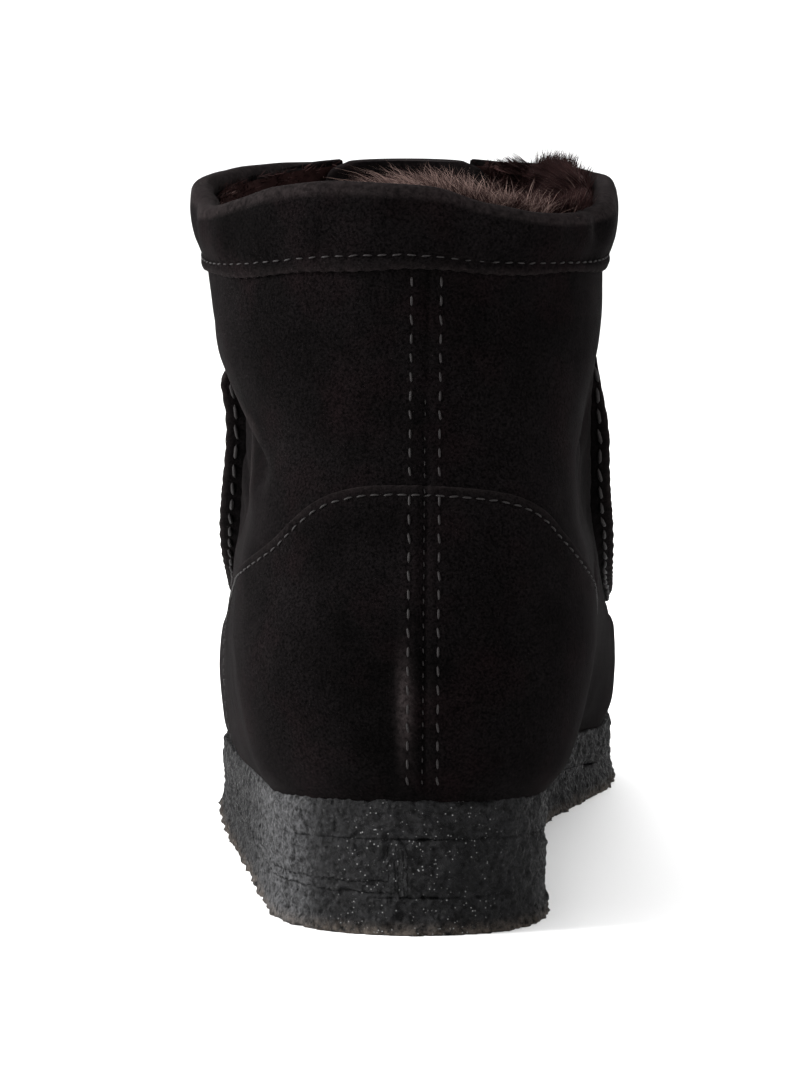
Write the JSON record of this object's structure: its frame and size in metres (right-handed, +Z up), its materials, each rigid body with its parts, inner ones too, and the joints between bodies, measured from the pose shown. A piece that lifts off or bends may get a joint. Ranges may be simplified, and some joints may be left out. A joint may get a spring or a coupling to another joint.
{
  "type": "moccasin boot",
  "caption": "Left ankle moccasin boot in black suede, with a raised moccasin seam, a folded fur-lined collar and a crepe wedge sole.",
  "frame": {"origin": "on the floor under the sole, half way along its length and on the heel's middle line", "axes": "+Y towards the toe, +X towards the inner side of the foot, +Z up"},
  "size_m": [0.0992, 0.2751, 0.1642],
  "materials": {
    "suede": "black suede with a short nap",
    "crepe": "black crinkled crepe rubber",
    "fur": "dark brown fur",
    "lace": "black round cord"
  },
  "bodies": {
    "root": {"outsole": "crepe", "heel_wedge": "crepe", "midsole": "crepe", "upper": "suede", "collar_cuff": "suede", "apron_seam": "suede", "tongue": "suede", "insole": "fur", "fleece_lining": "fur", "lace": "lace"}
  },
  "joints": []
}
